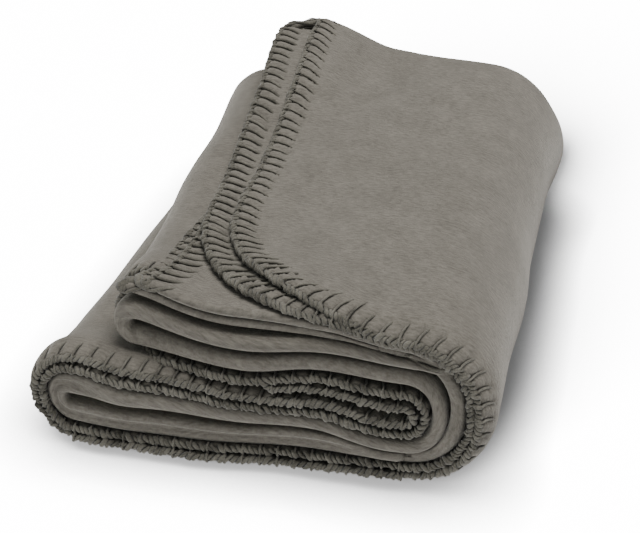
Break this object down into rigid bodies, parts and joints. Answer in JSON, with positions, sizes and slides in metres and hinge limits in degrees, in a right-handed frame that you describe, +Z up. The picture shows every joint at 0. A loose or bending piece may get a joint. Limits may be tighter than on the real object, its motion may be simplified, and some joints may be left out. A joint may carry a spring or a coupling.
{
  "type": "folded throw blanket",
  "caption": "Fleece throw with whip-stitched yarn edging, folded in four and then folded up into a soft rectangular package that lies flat.",
  "frame": {"origin": "on the floor under the middle of the package", "axes": "+X to the right along the folded-up runs, +Y from the front, where the stitched edges show, to the folded back, +Z up"},
  "size_m": [0.312, 0.381, 0.1399],
  "materials": {
    "fleece": "brushed plush fleece, matt, warm grey",
    "edge_yarn": "thick matt yarn, a darker tone of the fleece"
  },
  "bodies": {
    "root": {"fleece_panel": "fleece", "front_edge_stitch_outer": "edge_yarn", "front_edge_stitch_inner": "edge_yarn", "outer_end_stitch": "edge_yarn", "inner_end_stitch": "edge_yarn"}
  },
  "joints": []
}
